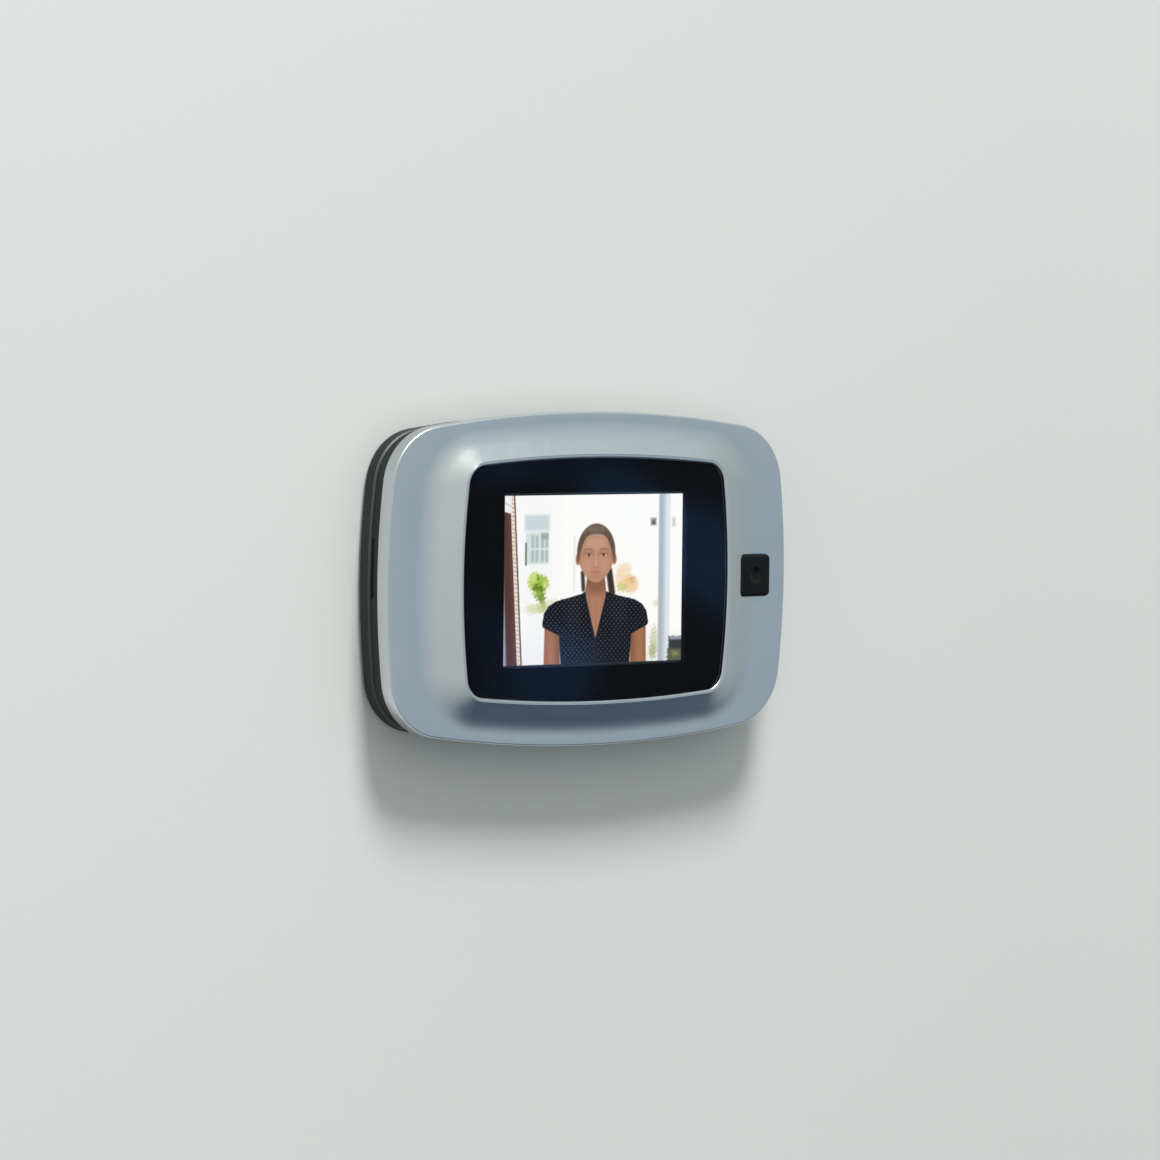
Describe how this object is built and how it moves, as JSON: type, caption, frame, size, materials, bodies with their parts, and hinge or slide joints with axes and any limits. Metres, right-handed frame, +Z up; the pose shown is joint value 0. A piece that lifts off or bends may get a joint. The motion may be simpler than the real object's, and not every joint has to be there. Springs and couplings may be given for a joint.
{
  "type": "peephole door camera",
  "caption": "Peephole door camera: a slim indoor screen with a press button hangs on a hook plate that a hollow screw clamps through the door to an outdoor lens barrel.",
  "frame": {"origin": "on the barrel's axis, in the plane of the door's inner face", "axes": "X to the right as seen from the room, Y out of the room through the door, Z up"},
  "size_m": [0.1276, 0.0638, 0.0844],
  "materials": {
    "silver_shell": "satin silver paint",
    "dark_shell": "fine matt",
    "black_window": "gloss, printed black around the picture",
    "tape": "matt",
    "display_glass": "gloss",
    "white_plastic": "matt",
    "flex": "amber film",
    "board": "green solder mask",
    "black_plastic": "matt",
    "cap_plastic": "satin",
    "cell_skin": "printed sleeve",
    "contact_metal": "nickel plated",
    "screw_steel": "zinc plated",
    "plate_steel": "zinc plated",
    "foam": "foam tape",
    "clamp_brass": "machined",
    "camera_metal": "satin anodised",
    "seal": "matt",
    "lens_glass": "clear"
  },
  "bodies": {
    "mount": {"mount_plate": "plate_steel", "plate_pad": "foam"},
    "monitor": {"front_fascia": "silver_shell", "screen_window": "black_window", "window_tape": "tape", "lcd_panel": "display_glass", "lcd_frame": "white_plastic", "lcd_flex": "flex", "flex_socket": "white_plastic", "main_board": "board", "board_chips": "black_plastic", "ribbon_socket": "white_plastic", "ribbon_plug": "black_plastic", "tact_switch": "black_plastic", "rear_housing": "dark_shell", "rear_cover": "dark_shell", "battery_cells": "cell_skin", "battery_springs": "contact_metal", "battery_plates": "contact_metal", "housing_screws": "screw_steel", "board_screws": "screw_steel"},
    "button": {"button_cap": "cap_plastic", "tact_plunger": "white_plastic"},
    "battery_lid": {"battery_cover": "dark_shell"},
    "clamp": {"clamp_screw": "clamp_brass"},
    "camera": {"camera_housing": "camera_metal", "door_gasket": "seal", "lens_cover": "lens_glass", "lens_ring": "black_plastic", "lens_barrel": "black_plastic", "lens_elements": "lens_glass", "sensor_board": "board", "image_sensor": "display_glass", "camera_ribbon": "flex"}
  },
  "joints": [
    {"name": "monitor_lift", "type": "slide", "parent": "mount", "child": "monitor", "axis": [0, 0, 1], "range_m": [0, 0.006], "deforming": ["camera_ribbon"]},
    {"name": "button_press", "type": "slide", "parent": "monitor", "child": "button", "axis": [0, 1, 0], "range_m": [0, 0.0005], "stiffness_N_per_m": 2000, "springref_m": -0.0005},
    {"name": "lid_swing", "type": "hinge", "parent": "monitor", "child": "battery_lid", "pos_m": [-0.0584, -0.0012, 0], "axis": [0, 0, 1], "range_deg": [0, 90]},
    {"name": "clamp_turn", "type": "hinge", "parent": "mount", "child": "clamp", "pos_m": [0, 0, 0], "axis": [0, 1, 0], "range_deg": [-5400, 1800]},
    {"name": "camera_feed", "type": "slide", "parent": "mount", "child": "camera", "axis": [0, 1, 0], "range_m": [-0.005, 0.015], "deforming": ["camera_ribbon"]}
  ],
  "couplings": [
    {"joint": "camera_feed", "follows": "clamp_turn", "m_per_rad": -0.00015915}
  ]
}
